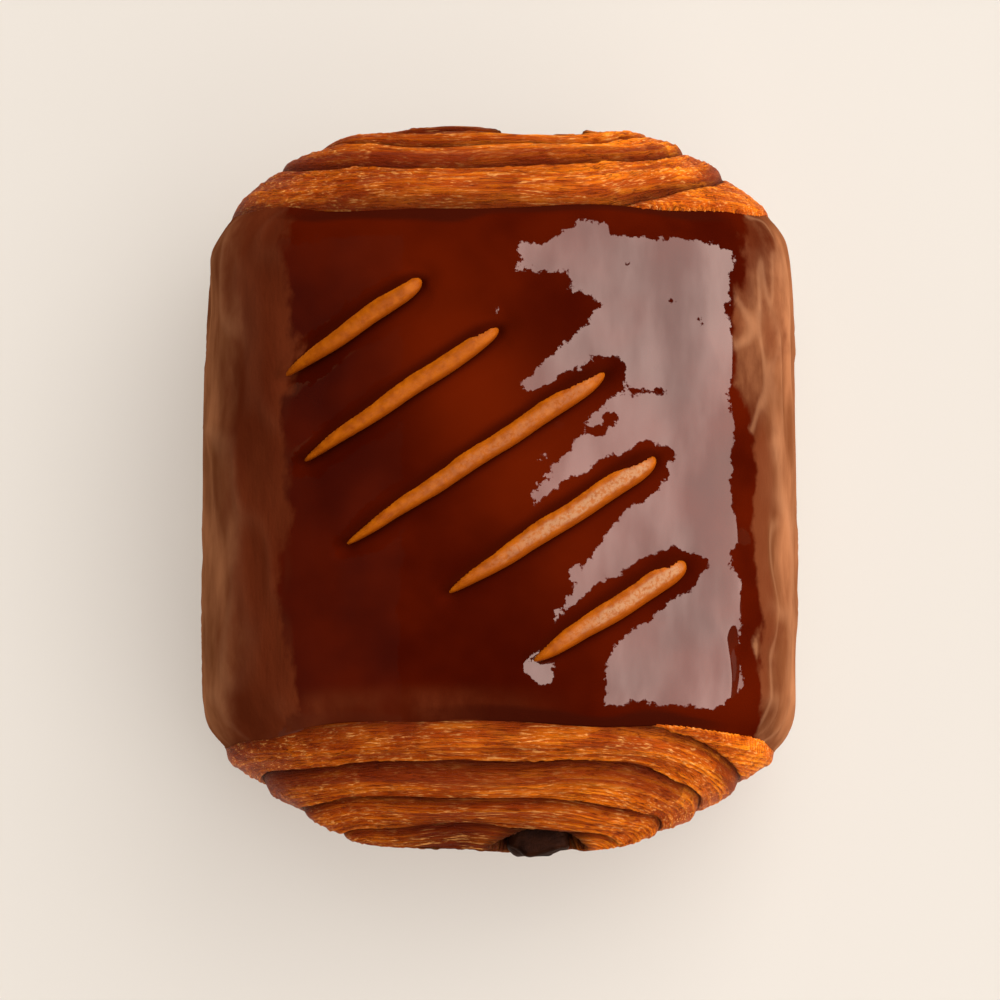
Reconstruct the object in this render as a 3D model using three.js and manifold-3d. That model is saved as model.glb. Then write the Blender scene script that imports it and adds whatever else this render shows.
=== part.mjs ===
// Pain au chocolat: a sheet of laminated dough rolled round a bar of chocolate and baked.
// The roll lies on a flat base with its axis along Y. A glazed crust wraps the outside and carries
// five slanting cuts. At both ends the wraps of the roll step outwards towards the middle, so the
// spiral shows as rounded lips with creases between them, and the bar of chocolate shows in its mouth.
// Units are millimetres, +Z is up, and the origin is under the middle of the whole on its base.

import * as THREE from "three";
import { mergeVertices } from "three/addons/utils/BufferGeometryUtils.js";
import Module from "manifold-3d";

// Driving dimensions, in millimetres.
const loaf = {
  width: 86,
  height: 48,
  widestHeight: 19,
  crownPower: 2.35, // roundness of the upper half of the section, 2 is an ellipse
  footPower: 3.2, // the lower half is squarer
  footDepth: 1.2, // the lower half is cut off flat where it would pass the base
  halfLength: 36.2, // from the middle to the edge of the glazed crust, along the top
  edgeSweep: 2, // how much further the edge of the crust reaches at its sides
};
const shoulder = { lowering: 0.045, length: 2.8, taperLength: 18 }; // how the crust draws in at its ends
const roll = {
  wraps: 4,
  coreHalfWidth: 17,
  coreHeight: 22,
  firstStep: 1,
  turnFrom: -8, // the wraps keep their depth most of the way round, and each one dives under the
  turnTo: 78, // one outside it between these two angles, in degrees from +X, on the upper right
};
const lip = { rise: 0.2, power: 0.7, crease: 0.45, creaseWidth: 0.06, sideShare: 0.42 };

// The two ends: how far the middle stands out past the crust and how full the dome is, how far each
// wrap in turn steps out past the one round it, how much the dough swells round the bar, how the crust
// narrows there, and how the wraps thin out: evenly at 1, thickest outside below 1.
const front = {
  name: "front",
  side: -1,
  reach: 16.4,
  domePower: 1.47,
  steps: [1.6, 2.6, 1.3, 1.1, 0.8],
  swell: 1,
  phase: 0,
  narrowing: 0.07,
  taper: 0,
  wrapPower: 1,
};
const back = {
  name: "back",
  side: 1,
  reach: 15.4,
  domePower: 1.9,
  steps: [1.4, 2, 1.1, 1, 0.8],
  swell: 0.3,
  phase: 2.3,
  narrowing: 0.055,
  taper: 0.022,
  wrapPower: 0.8,
};
const ends = [front, back];
const bar = { x: 5.5, z: 21.5, width: 9, height: 5.6, frontPast: 1.8, backShort: 1.2, gap: 0.3 };
const mouth = { halfWidth: 7, halfHeight: 5, lift: 1.8, depth: 5, swellWidth: 8 };

// Each cut: its middle, its length and its greatest width.
const cutAngle = 33.5;
const cuts = [
  { x: -20.7, y: 19.7, length: 24, width: 3 },
  { x: -13.8, y: 10, length: 34, width: 3 },
  { x: -3.2, y: 0.9, length: 45, width: 3.2 },
  { x: 7.6, y: -8.6, length: 36, width: 3.7 },
  { x: 15.6, y: -20.8, length: 26.5, width: 3.7 },
];
const valley = { margin: 2.1, depth: 0.8 }; // the crust dips this far on either side of a cut
const ridge = { top: 0.5, bottom: -2.2 }; // the dough in a cut, from the crust

// How finely the shape is divided.
const columns = 64;
const lipStations = [0, 0.04, 0.2, 0.52, 0.88];
const crustStations = [0, 0.9, 2.2, 4.5, 8.5, 14, 21, 29];
const blendAtEdge = 0.975;
const blendAtCore = 0.16;

const smooth = (low, high, value) => THREE.MathUtils.smoothstep(value, low, high);
const signedPower = (value, power) => Math.sign(value) * Math.abs(value) ** power;

// A point of the full section, for an angle measured from +X round towards +Z.
function section(angle) {
  const c = Math.cos(angle);
  const s = Math.sin(angle);
  const power = 2 / (s >= 0 ? loaf.crownPower : loaf.footPower);
  const above = loaf.height - loaf.widestHeight;
  const below = loaf.widestHeight * loaf.footDepth;
  const z = loaf.widestHeight + (s >= 0 ? above : -below) * Math.abs(s) ** power;
  return [(loaf.width / 2) * signedPower(c, power), Math.max(0, z)];
}

// The section at a distance in from the edge of the crust at one end: it rounds in close to the
// edge, and tapers slowly from the middle.
function crustSection(angle, fromEdge, end) {
  const [x, z] = section(angle);
  const fade = Math.exp(-fromEdge / shoulder.length);
  const atMiddle = Math.exp(-loaf.halfLength / shoulder.taperLength);
  const taper = end.taper * Math.max(0, Math.exp(-fromEdge / shoulder.taperLength) - atMiddle);
  return [x * (1 - end.narrowing * fade - taper), z * (1 - shoulder.lowering * fade)];
}

// Height of the crown over a point of the plan, away from the ends.
function crownHeight(x) {
  const across = Math.min(1, Math.abs(x) / (loaf.width / 2));
  const share = (1 - across ** loaf.crownPower) ** (1 / loaf.crownPower);
  return loaf.widestHeight + (loaf.height - loaf.widestHeight) * share;
}

// Where an end stands, seen along Y, for a share of the way from its core to the crust.
const edgeOf = (angle, ratio) => loaf.halfLength + loaf.edgeSweep * (Math.cos(angle) * ratio) ** 2;

// The sides of the crust have soft folds along the roll, which die out over the crown and the base.
function fold(angle, y) {
  const onSide = smooth(0.45, 0.95, Math.abs(Math.cos(angle)));
  return 0.35 * onSide * Math.sin(9 * angle + 0.05 * y) * Math.sin(0.13 * y + 2 * angle);
}

// Uneven baking: slow swells round the roll, in millimetres.
function unevenness(angle, spiral, phase) {
  const slow = 0.3 * Math.sin(3 * angle + 1.4 * spiral + phase);
  return slow + 0.22 * Math.sin(7 * angle - 2.1 * spiral + 1 + phase);
}

// How far an end stands out past the edge of the crust. ratio is 1 at the crust and 0 at the core,
// and spiral counts the wraps passed on the way in.
function endReach(end, angle, ratio, spiral) {
  const dome = roll.firstStep + (end.reach - roll.firstStep) * (1 - ratio ** end.domePower);
  const wrap = Math.floor(spiral);
  const across = spiral - wrap;
  const stepIn = end.steps[Math.min(wrap, end.steps.length - 1)];
  const stepOut = end.steps[Math.max(0, Math.min(wrap - 1, end.steps.length - 1))];
  const toTop = Math.min(1, across / lip.rise);
  const risen = (toTop * (2 - toTop)) ** lip.power;
  const fallen = Math.max(0, (across - lip.rise) / (1 - lip.rise));
  const share = 1 - (1 - lip.sideShare) * smooth(0.3, 1, Math.abs(Math.cos(angle)));
  const profile = share * ((stepIn / 2) * (risen - 2 * fallen) - (stepOut / 2) * (1 - risen));
  const toCrease = Math.min(across, 1 - across) / lip.creaseWidth;
  const crease = lip.crease * Math.exp(-toCrease * toCrease);
  const out = dome + profile - crease + unevenness(angle, spiral, end.phase);
  const fromCore = smooth(0, blendAtCore, ratio);
  const fromEdge = 1 - smooth(blendAtEdge, 1, ratio);
  return fromEdge * (end.reach + (out - end.reach) * fromCore);
}

// The dough swells a little round the end of the bar.
function swellAt(end, x, z) {
  const away = ((x - bar.x) / mouth.swellWidth) ** 2 + ((z - bar.z) / mouth.swellWidth) ** 2;
  return end.swell * Math.exp(-away);
}

// The rolled dough as one closed surface: two spiral ends joined by the crust.
function rolledDough() {
  const points = [];
  const faces = [];
  const known = new Map();
  const rows = (roll.wraps + 1) * lipStations.length;
  const angleOf = (column) => -Math.PI / 2 + (column / columns) * 2 * Math.PI;
  const tail = (column) => smooth(roll.turnFrom, roll.turnTo, THREE.MathUtils.radToDeg(angleOf(column)));

  function vertex(key, make) {
    if (!known.has(key)) {
      known.set(key, points.length / 3);
      points.push(...make());
    }
    return known.get(key);
  }

  function endVertex(end, column, row) {
    const perWrap = lipStations.length;
    if (column === columns) return row < perWrap ? crustVertex(end, 0, 0) : endVertex(end, 0, row - perWrap);
    const spiral = Math.floor(row / perWrap) + lipStations[row % perWrap];
    const inward = Math.max(0, spiral - tail(column)) / roll.wraps;
    const ratio = 1 - inward ** end.wrapPower;
    if (ratio > 0.996) return crustVertex(end, column, 0);
    if (ratio < 0.02) return coreVertex(end, column);
    return vertex(`${end.name} ${column} ${row}`, () => {
      const angle = angleOf(column);
      const [outerX, outerZ] = crustSection(angle, 0, end);
      const [coreX, coreZ] = [roll.coreHalfWidth * Math.cos(angle), roll.coreHeight];
      const [x, z] = [coreX + (outerX - coreX) * ratio, coreZ + (outerZ - coreZ) * ratio];
      const out = edgeOf(angle, ratio) + endReach(end, angle, ratio, spiral) + swellAt(end, x, z);
      return [x, end.side * out, z];
    });
  }

  // The core is a line across, which the upper and lower columns share.
  function coreVertex(end, column) {
    const partner = (columns / 2 - column + columns) % columns;
    const shared = Math.min(column, partner);
    const x = roll.coreHalfWidth * Math.cos(angleOf(shared));
    const y = end.side * (loaf.halfLength + end.reach + swellAt(end, x, roll.coreHeight));
    return vertex(`${end.name} core ${shared}`, () => [x, y, roll.coreHeight]);
  }

  function crustVertex(end, column, station) {
    const angle = angleOf(column % columns);
    const fromEdge = crustStations[station];
    return vertex(`${end.name} crust ${column % columns} ${station}`, () => {
      const [x, z] = crustSection(angle, fromEdge, end);
      const y = end.side * edgeOf(angle, 1) * (1 - fromEdge / loaf.halfLength);
      return [x + Math.sign(x) * fold(angle, y) * Math.min(1, fromEdge / 4), y, z];
    });
  }

  function quad(a, b, c, d, flip) {
    for (const [i, j, k] of [[a, b, c], [a, c, d]]) {
      if (i === j || j === k || k === i) continue;
      faces.push(...(flip ? [i, k, j] : [i, j, k]));
    }
  }

  for (let column = 0; column < columns; column++) {
    for (const end of ends) {
      for (let row = 0; row < rows; row++) {
        quad(
          endVertex(end, column, row),
          endVertex(end, column + 1, row),
          endVertex(end, column + 1, row + 1),
          endVertex(end, column, row + 1),
          end.side > 0,
        );
      }
      for (let station = 0; station < crustStations.length - 1; station++) {
        quad(
          crustVertex(end, column, station + 1),
          crustVertex(end, column + 1, station + 1),
          crustVertex(end, column + 1, station),
          crustVertex(end, column, station),
          end.side > 0,
        );
      }
    }
    const last = crustStations.length - 1;
    quad(
      crustVertex(back, column, last),
      crustVertex(back, column + 1, last),
      crustVertex(front, column + 1, last),
      crustVertex(front, column, last),
      false,
    );
  }
  return new THREE.BufferGeometry()
    .setAttribute("position", new THREE.Float32BufferAttribute(points, 3))
    .setIndex(faces);
}

// A closed tube of pointed length that lies along a cut and follows the crown. The half width comes
// from a rule of the place along it, from -1 to 1, and top and bottom are heights from the crust.
function spindle(cut, halfWidth, halfLength, top, bottom, stations, sides) {
  const turn = THREE.MathUtils.degToRad(cutAngle);
  const [along, across] = [[Math.cos(turn), Math.sin(turn)], [-Math.sin(turn), Math.cos(turn)]];
  const points = [];
  const faces = [];
  const place = (u, v, fromCrust) => {
    const x = cut.x + along[0] * u + across[0] * v;
    const y = cut.y + along[1] * u + across[1] * v;
    points.push(x, y, crownHeight(x) + fromCrust);
  };
  place(-halfLength, 0, top - 0.3);
  for (let i = 1; i < stations; i++) {
    const share = -Math.cos((i / stations) * Math.PI);
    for (let k = 0; k < sides; k++) {
      const angle = (k / sides) * 2 * Math.PI;
      const width = halfWidth(share);
      const drop = width / halfWidth(0.2);
      const centre = (top + bottom) / 2 - 0.25 * (1 - drop);
      const fromCrust = centre + ((top - bottom) / 2) * drop * Math.sin(angle);
      place(share * halfLength, width * Math.cos(angle), fromCrust);
    }
  }
  place(halfLength, 0, top - 0.3);
  const end = points.length / 3 - 1;
  const at = (i, k) => 1 + (i - 1) * sides + (k % sides);
  for (let k = 0; k < sides; k++) {
    faces.push(0, at(1, k + 1), at(1, k), end, at(stations - 1, k), at(stations - 1, k + 1));
    for (let i = 1; i < stations - 1; i++) {
      faces.push(at(i, k), at(i, k + 1), at(i + 1, k + 1), at(i, k), at(i + 1, k + 1), at(i + 1, k));
    }
  }
  return new THREE.BufferGeometry()
    .setAttribute("position", new THREE.Float32BufferAttribute(points, 3))
    .setIndex(faces);
}

// Cuts are pointed at their lower left and blunt at their upper right.
function cutHalfWidth(share, width) {
  const power = 2 + 4 * smooth(0, 1, share);
  return (width / 2) * Math.sqrt(Math.max(0, 1 - Math.abs(share) ** power)) * (1 + 0.12 * share);
}

// A bar with rounded long edges, along Y from one place to another.
function roundedBar(halfWidth, halfHeight, corner, from, to) {
  const shape = new THREE.Shape();
  const [w, h] = [halfWidth, halfHeight];
  shape.moveTo(-w + corner, -h).lineTo(w - corner, -h);
  shape.absarc(w - corner, -h + corner, corner, -Math.PI / 2, 0);
  shape.lineTo(w, h - corner).absarc(w - corner, h - corner, corner, 0, Math.PI / 2);
  shape.lineTo(-w + corner, h).absarc(-w + corner, h - corner, corner, Math.PI / 2, Math.PI);
  shape.lineTo(-w, -h + corner).absarc(-w + corner, -h + corner, corner, Math.PI, 1.5 * Math.PI);
  const options = { depth: to - from, bevelEnabled: false, curveSegments: 3, steps: 4 };
  const made = new THREE.ExtrudeGeometry(shape, options);
  return made.rotateX(Math.PI / 2).translate(bar.x, to, bar.z);
}

// The hollow round the end of the bar, where the dough opens.
function mouthHollow(side, tip) {
  const made = new THREE.SphereGeometry(1, 18, 10);
  made.scale(mouth.halfWidth, mouth.depth, mouth.halfHeight);
  return made.translate(bar.x, side * tip, bar.z + mouth.lift);
}

const wasm = await Module();
wasm.setup();

function toSolid(geometry) {
  const bare = geometry.index ? geometry.toNonIndexed() : geometry.clone();
  bare.deleteAttribute("normal");
  bare.deleteAttribute("uv");
  const merged = mergeVertices(bare, 1e-4);
  const mesh = new wasm.Mesh({
    numProp: 3,
    vertProperties: merged.attributes.position.array,
    triVerts: new Uint32Array(merged.index.array),
  });
  return new wasm.Manifold(mesh);
}

function toGeometry(solid) {
  const mesh = solid.getMesh();
  const made = new THREE.BufferGeometry();
  made.setAttribute("position", new THREE.BufferAttribute(new Float32Array(mesh.vertProperties), 3));
  made.setIndex(new THREE.BufferAttribute(new Uint32Array(mesh.triVerts), 1));
  return made;
}

const frontTip = loaf.halfLength + front.reach;
const backTip = loaf.halfLength + back.reach;

function pastry() {
  let solid = toSolid(rolledDough());
  for (const cut of cuts) {
    const half = cut.length / 2 + valley.margin;
    const dip = (share) => cutHalfWidth(share, cut.width) + valley.margin * Math.sqrt(1 - share ** 2);
    solid = solid.subtract(toSolid(spindle(cut, dip, half, valley.depth, -valley.depth, 12, 10)));
  }
  for (const cut of cuts) {
    const dough = (share) => cutHalfWidth(share, cut.width);
    solid = solid.add(toSolid(spindle(cut, dough, cut.length / 2, ridge.top, ridge.bottom, 14, 8)));
  }
  const [halfWidth, halfHeight] = [bar.width / 2 + bar.gap, bar.height / 2 + bar.gap];
  const tunnel = roundedBar(halfWidth, halfHeight, 1.8, -frontTip - 5, backTip + 5);
  return solid
    .subtract(toSolid(tunnel))
    .subtract(toSolid(mouthHollow(-1, frontTip)))
    .subtract(toSolid(mouthHollow(1, backTip)));
}

const dough = new THREE.MeshStandardMaterial({ color: 0x7a2c10, roughness: 0.35, metalness: 0 });
const chocolate = new THREE.MeshStandardMaterial({ color: 0x2a150a, roughness: 0.6, metalness: 0 });

const pastryMesh = new THREE.Mesh(toGeometry(pastry()), dough);
pastryMesh.name = "pastry";

const barFrom = -frontTip - bar.frontPast;
const barTo = backTip - bar.backShort;
const barMesh = new THREE.Mesh(roundedBar(bar.width / 2, bar.height / 2, 1.6, barFrom, barTo), chocolate);
barMesh.name = "chocolate_bar";

const painAuChocolat = new THREE.Group();
painAuChocolat.add(pastryMesh, barMesh);

// The whole is moved so that the origin lies under the middle of its bounding box.
const bounds = new THREE.Box3().setFromObject(painAuChocolat);
const middle = bounds.getCenter(new THREE.Vector3());
painAuChocolat.position.set(-middle.x, -middle.y, -bounds.min.z);

export default painAuChocolat;
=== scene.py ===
import math

import bpy
import numpy as np
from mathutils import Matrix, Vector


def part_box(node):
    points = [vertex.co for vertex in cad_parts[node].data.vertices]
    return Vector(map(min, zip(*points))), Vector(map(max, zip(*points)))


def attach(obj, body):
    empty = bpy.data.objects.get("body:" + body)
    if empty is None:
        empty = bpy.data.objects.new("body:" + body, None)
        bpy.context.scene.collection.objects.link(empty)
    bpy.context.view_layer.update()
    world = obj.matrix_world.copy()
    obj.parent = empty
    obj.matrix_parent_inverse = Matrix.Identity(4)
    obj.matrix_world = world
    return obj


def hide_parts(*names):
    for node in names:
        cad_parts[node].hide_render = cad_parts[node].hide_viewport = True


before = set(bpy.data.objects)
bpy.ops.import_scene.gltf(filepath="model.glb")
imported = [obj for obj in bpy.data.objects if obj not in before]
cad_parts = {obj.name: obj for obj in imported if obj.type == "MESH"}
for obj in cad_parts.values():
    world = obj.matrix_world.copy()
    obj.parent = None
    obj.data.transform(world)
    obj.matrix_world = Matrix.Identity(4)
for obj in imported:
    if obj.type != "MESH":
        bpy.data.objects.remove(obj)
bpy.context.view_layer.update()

# Pain au chocolat, seen from above. Shapes are worked out in millimetres, with the roll's axis along Y
# and the bar of chocolate at a known place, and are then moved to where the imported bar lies.

# The overall form. These are the sizes of the solids.
loaf = {
    "width": 86,
    "height": 48,
    "widestHeight": 19,
    "crownPower": 2.35,
    "footPower": 3.2,
    "footDepth": 1.2,
    "halfLength": 36.2,
    "edgeSweep": 2,
}
# How the crust draws in towards its ends: a share of its size, which fades over a length.
shoulder = {"lowering": 0.045, "length": 2.8, "taperLength": 18}
roll = {
    "wraps": 4,
    "coreHalfWidth": 17,
    "coreHeight": 22,
    "firstStep": 1,
    "turnFrom": -8,
    "turnTo": 78,
}
lip = {"rise": 0.2, "power": 0.7, "crease": 0.45, "creaseWidth": 0.06, "sideShare": 0.42}
ends = {
    "front": {
        "side": -1, "reach": 16.4, "domePower": 1.47, "steps": [1.6, 2.6, 1.3, 1.1, 0.8], "swell": 1,
        "phase": 0, "narrowing": 0.07, "taper": 0, "wrapPower": 1,
    },
    "back": {
        "side": 1, "reach": 15.4, "domePower": 1.9, "steps": [1.4, 2, 1.1, 1, 0.8], "swell": 0.3,
        "phase": 2.3, "narrowing": 0.055, "taper": 0.022, "wrapPower": 0.8,
    },
}
bar = {"x": 5.5, "z": 21.5, "width": 9, "height": 5.6, "frontPast": 1.8, "backShort": 1.2}
mouth = {"halfWidth": 7, "halfHeight": 5, "lift": 1.8, "depth": 5, "swellWidth": 8}
cutAngle = math.radians(33.5)
# Each cut's paintedHighlight is how strong the painted highlight on its dough is.
cuts = [
    {"x": -20.7, "y": 19.7, "length": 24, "width": 3, "paintedHighlight": 0.05},
    {"x": -13.8, "y": 10, "length": 34, "width": 3, "paintedHighlight": 0.05},
    {"x": -3.2, "y": 0.9, "length": 45, "width": 3.2, "paintedHighlight": 0.25},
    {"x": 7.6, "y": -8.6, "length": 36, "width": 3.7, "paintedHighlight": 0.85},
    {"x": 15.6, "y": -20.8, "length": 26.5, "width": 3.7, "paintedHighlight": 0.85},
]

barBox = np.array(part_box("chocolate_bar")) * 1000
frontTip = loaf["halfLength"] + ends["front"]["reach"] + bar["frontPast"]
shift = np.array([barBox[:, 0].mean() - bar["x"], barBox[0, 1] + frontTip, barBox[:, 2].mean() - bar["z"]])


def smooth(low, high, value):
    # 0 below low, 1 above high, with an S between them: 3t^2 - 2t^3.
    share = np.clip((value - low) / (high - low), 0, 1)
    return share * share * (3 - 2 * share)


def signedPower(value, power):
    # The size to a power, with the sign kept.
    return np.sign(value) * np.abs(value) ** power


def noise(u, v, seed):
    # Value noise from 0 to 1: seeded values on a square lattice, with an S-shaped blend between them.
    lattice = np.random.default_rng(seed).random((256, 256))
    cellU, cellV = np.floor(u).astype(int), np.floor(v).astype(int)
    shareU, shareV = smooth(0, 1, u - cellU), smooth(0, 1, v - cellV)
    lowU, highU = cellU % 256, (cellU + 1) % 256
    lowV, highV = cellV % 256, (cellV + 1) % 256
    low = lattice[lowU, lowV] * (1 - shareU) + lattice[highU, lowV] * shareU
    high = lattice[lowU, highV] * (1 - shareU) + lattice[highU, highV] * shareU
    return low * (1 - shareV) + high * shareV


def wave(u, v, seed):
    # The same noise about zero.
    return noise(u, v, seed) - 0.5


def section(angle):
    # The outline across the roll: x goes with cos and z with sin, each to the power 2 / roundness,
    # with the lower half stretched downwards and cut off flat at the base.
    c, s = np.cos(angle), np.sin(angle)
    power = np.where(s >= 0, 2 / loaf["crownPower"], 2 / loaf["footPower"])
    middle = loaf["widestHeight"]
    rise = np.where(s >= 0, loaf["height"] - middle, -middle * loaf["footDepth"])
    x = loaf["width"] / 2 * signedPower(c, power)
    return x, np.maximum(0, middle + rise * np.abs(s) ** power)


def crustSection(angle, fromEdge, endName):
    # The outline drawn in towards an end: it shrinks by shares that fade with e^-distance, a quick
    # one close to the edge and a slow one that is nothing at the middle.
    x, z = section(angle)
    end = ends[endName]
    inside = np.maximum(fromEdge, -1)
    fade = np.exp(-inside / shoulder["length"])
    atMiddle = np.exp(-loaf["halfLength"] / shoulder["taperLength"])
    taper = end["taper"] * np.maximum(0, np.exp(-inside / shoulder["taperLength"]) - atMiddle)
    return x * (1 - end["narrowing"] * fade - taper), z * (1 - shoulder["lowering"] * fade)


def crownHeight(x):
    # Height of the top over a place across the roll, from the same rounded outline.
    across = np.minimum(0.999, np.abs(x) / (loaf["width"] / 2))
    share = (1 - across ** loaf["crownPower"]) ** (1 / loaf["crownPower"])
    return loaf["widestHeight"] + (loaf["height"] - loaf["widestHeight"]) * share


def edgeOf(angle, ratio):
    # Half the crust's length: a little more at the sides than along the top.
    return loaf["halfLength"] + loaf["edgeSweep"] * (np.cos(angle) * ratio) ** 2


def spread(lengths, spacing):
    # Places from 0 to 1 along a path whose pieces have these lengths, evenly far apart by spacing.
    steps = np.concatenate([[0], np.cumsum(lengths / spacing)])
    count = int(np.ceil(steps[-1]))
    return np.interp(np.linspace(0, steps[-1], count + 1), steps, np.linspace(0, 1, len(steps)))


def anglesRound(topSpacing, baseSpacing):
    # Angles round the outline, from the middle of the base, close together where the outline shows.
    angle = np.linspace(-0.5 * np.pi, 1.5 * np.pi, 6001)
    x, z = section(angle)
    lengths = np.hypot(np.diff(x), np.diff(z))
    height = (z[1:] + z[:-1]) / 2
    spacing = baseSpacing + (topSpacing - baseSpacing) * smooth(4, 12, height)
    return -0.5 * np.pi + 2 * np.pi * spread(lengths, spacing)


def gridNormals(points, outward):
    # Unit normals of a grid of points: the cross product of its two directions.
    down = np.gradient(points, axis=0)
    along = np.gradient(points, axis=1)
    normal = np.cross(down, along) * outward
    return normal / np.maximum(np.linalg.norm(normal, axis=2, keepdims=True), 1e-9)


def buildPiece(name, points, outward, uv, marks, material, nodes=()):
    # A grid of points becomes a mesh: points at one place are joined and flat faces are dropped.
    rows, columns = points.shape[:2]
    flat = (points.reshape(-1, 3) + shift) / 1000
    keys = np.round(flat * 1e7).astype(np.int64)
    unique, first, joined = np.unique(keys, axis=0, return_index=True, return_inverse=True)
    joined = joined.reshape(-1)
    index = np.arange(rows * columns).reshape(rows, columns)
    quads = np.stack([index[:-1, :-1], index[1:, :-1], index[1:, 1:], index[:-1, 1:]], axis=-1)
    quads = quads.reshape(-1, 4)
    if outward < 0:
        quads = quads[:, ::-1]
    corners = joined[quads]
    same = corners == np.roll(corners, -1, axis=1)
    whole = ~same.any(axis=1)
    faces = corners[whole].tolist()
    loops = [quads[whole].reshape(-1)]
    single = same.sum(axis=1) == 1
    kept = ~same[single]
    faces += corners[single][kept].reshape(-1, 3).tolist()
    loops.append(quads[single][kept])
    mesh = bpy.data.meshes.new(name)
    mesh.from_pydata(flat[first].tolist(), [], faces)
    mesh.polygons.foreach_set("use_smooth", np.ones(len(mesh.polygons), dtype=bool))
    layer = mesh.uv_layers.new(name="UVMap")
    layer.data.foreach_set("uv", uv.reshape(-1, 2)[np.concatenate(loops)].astype(np.float32).reshape(-1))
    for markName, values in marks.items():
        mark = mesh.attributes.new(markName, "FLOAT", "POINT")
        mark.data.foreach_set("value", values.reshape(-1)[first].astype(np.float32))
    mesh.materials.append(material)
    mesh.update()
    piece = bpy.data.objects.new(name, mesh)
    bpy.context.scene.collection.objects.link(piece)
    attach(piece, "root")
    if nodes:
        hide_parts(*nodes)
    triangles = sum(len(face) - 2 for face in faces)
    print(name, len(unique), "points,", triangles, "triangles")


def setInputs(tree, node, inputs):
    # A node's inputs, by name or number, each as a value or as a link from another node.
    for key, value in inputs.items():
        if isinstance(value, bpy.types.NodeSocket):
            tree.links.new(value, node.inputs[key])
        else:
            node.inputs[key].default_value = value


def addNode(tree, kind, inputs=None, **settings):
    made = tree.nodes.new(kind)
    for key, value in settings.items():
        setattr(made, key, value)
    setInputs(tree, made, inputs or {})
    return made


def addMath(tree, operation, first, second=0.0, clamp=False):
    made = addNode(tree, "ShaderNodeMath", {0: first, 1: second}, operation=operation, use_clamp=clamp)
    return made.outputs[0]


def addProduct(tree, first, second):
    return addMath(tree, "MULTIPLY", first, second)


def addSum(tree, first, second):
    return addMath(tree, "ADD", first, second)


def addAwayFromMiddle(tree, value, size):
    # How far a noise is above its middle, times a size.
    return addProduct(tree, addMath(tree, "SUBTRACT", value, 0.5), size)


def addMix(tree, factor, first, second, blend="MIX"):
    inputs = {0: factor, 6: first, 7: second}
    return addNode(tree, "ShaderNodeMix", inputs, data_type="RGBA", blend_type=blend).outputs[2]


def addRange(tree, value, low, high, outLow=0.0, outHigh=1.0):
    inputs = {"Value": value, "From Min": low, "From Max": high, "To Min": outLow, "To Max": outHigh}
    return addNode(tree, "ShaderNodeMapRange", inputs, interpolation_type="SMOOTHSTEP").outputs[0]


def addStretch(tree, vector, factors):
    inputs = {0: vector, 1: factors}
    return addNode(tree, "ShaderNodeVectorMath", inputs, operation="MULTIPLY").outputs[0]


def addNoise(tree, vector, scale, detail=2.0, roughness=0.5):
    inputs = {"Vector": vector, "Scale": scale, "Detail": detail, "Roughness": roughness}
    return addNode(tree, "ShaderNodeTexNoise", inputs).outputs["Fac"]


def addPlace(tree):
    return addNode(tree, "ShaderNodeTexCoord").outputs["Object"]


def addMark(tree, name):
    return addNode(tree, "ShaderNodeAttribute", attribute_name=name).outputs["Fac"]


def newGroup(name, inputs, outputs, outputKind):
    # A group's inputs are names with usual values: a number, a colour, or none for a vector.
    group = bpy.data.node_groups.new(name, "ShaderNodeTree")
    for label, value in inputs.items():
        kind = {float: "Float", tuple: "Color"}.get(type(value), "Vector")
        socket = group.interface.new_socket(label, in_out="INPUT", socket_type="NodeSocket" + kind)
        if value is not None:
            socket.default_value = value
    for label in outputs:
        group.interface.new_socket(label, in_out="OUTPUT", socket_type="NodeSocket" + outputKind)
    return group, group.nodes.new("NodeGroupInput"), group.nodes.new("NodeGroupOutput")


def setLook(tree, shader, color, normal, look):
    # What each plain finish sets.
    setInputs(tree, shader, {
        "Base Color": color,
        "Normal": normal,
        "Roughness": look["roughness"],
        "Specular IOR Level": look["specular"],
    })


def newMaterial(name):
    material = bpy.data.materials.new(name)
    material.use_nodes = True
    tree = material.node_tree
    return material, tree, tree.nodes["Principled BSDF"]


def makeMottle():
    # Cloudy patches between two colours, from noise in three octaves.
    inputs = {"Vector": None, "Scale": 100.0, "Contrast": 0.2, "Dark": (0, 0, 0, 1), "Light": (1, 1, 1, 1)}
    group, given, made = newGroup("mottle", inputs, ["Color"], "Color")
    cloud = addNoise(group, given.outputs["Vector"], given.outputs["Scale"], 3.0, 0.55)
    low = addMath(group, "SUBTRACT", 0.5, given.outputs["Contrast"])
    high = addSum(group, 0.5, given.outputs["Contrast"])
    mask = addRange(group, cloud, low, high)
    mixed = addMix(group, mask, given.outputs["Dark"], given.outputs["Light"])
    setInputs(group, made, {"Color": mixed})
    return group


def makeGrain():
    # A fine uneven surface: two sizes of noise added into one height.
    inputs = {"Vector": None, "Scale": 1000.0, "Fine Share": 0.4, "Strength": 1.0, "Distance": 0.0001}
    inputs["Normal"] = None
    group, given, made = newGroup("grain", inputs, ["Normal"], "Vector")
    coarse = addNoise(group, given.outputs["Vector"], given.outputs["Scale"])
    fineScale = addProduct(group, given.outputs["Scale"], 3.7)
    fine = addNoise(group, given.outputs["Vector"], fineScale)
    inputs = {
        "Height": addSum(group, coarse, addProduct(group, fine, given.outputs["Fine Share"])),
        "Strength": given.outputs["Strength"],
        "Distance": given.outputs["Distance"],
        "Normal": given.outputs["Normal"],
    }
    bump = addNode(group, "ShaderNodeBump", inputs)
    setInputs(group, made, {"Normal": bump.outputs["Normal"]})
    return group


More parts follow.
